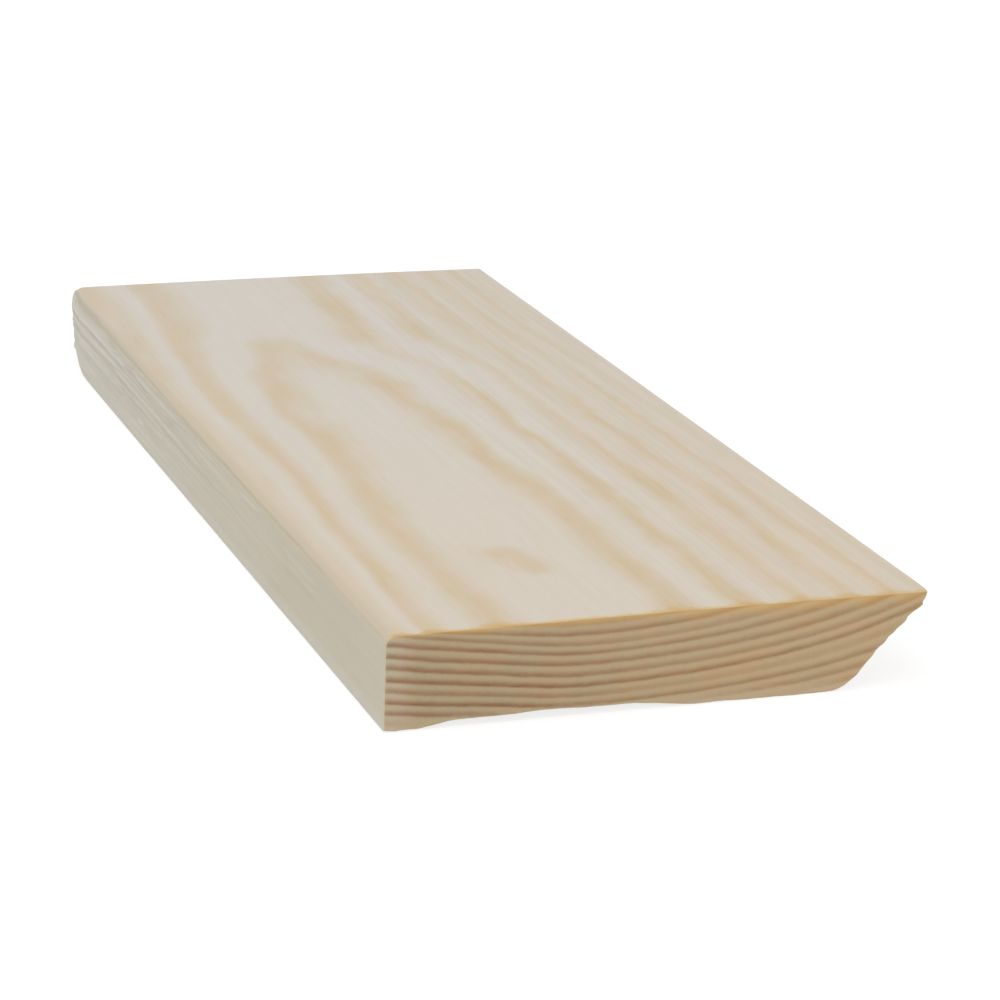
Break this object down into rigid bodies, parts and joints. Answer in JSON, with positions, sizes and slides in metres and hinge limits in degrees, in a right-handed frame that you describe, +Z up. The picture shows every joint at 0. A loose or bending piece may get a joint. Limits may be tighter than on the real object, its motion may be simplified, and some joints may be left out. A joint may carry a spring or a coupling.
{
  "type": "skirting board length",
  "caption": "Short straight length of solid pine skirting: flat wide face, square edge with an eased arris, undercut bevel behind a thin nose, shallow relief in the back.",
  "frame": {"origin": "middle of the length and of the width, on the level surface that the back rests on", "axes": "+X across the board to the nose and bevel, +Y along the grain, +Z up out of the wide face"},
  "size_m": [0.069, 0.17, 0.012],
  "materials": {
    "pine": "bare planed softwood, sawn ends"
  },
  "bodies": {
    "root": {"skirting_board": "pine"}
  },
  "joints": []
}
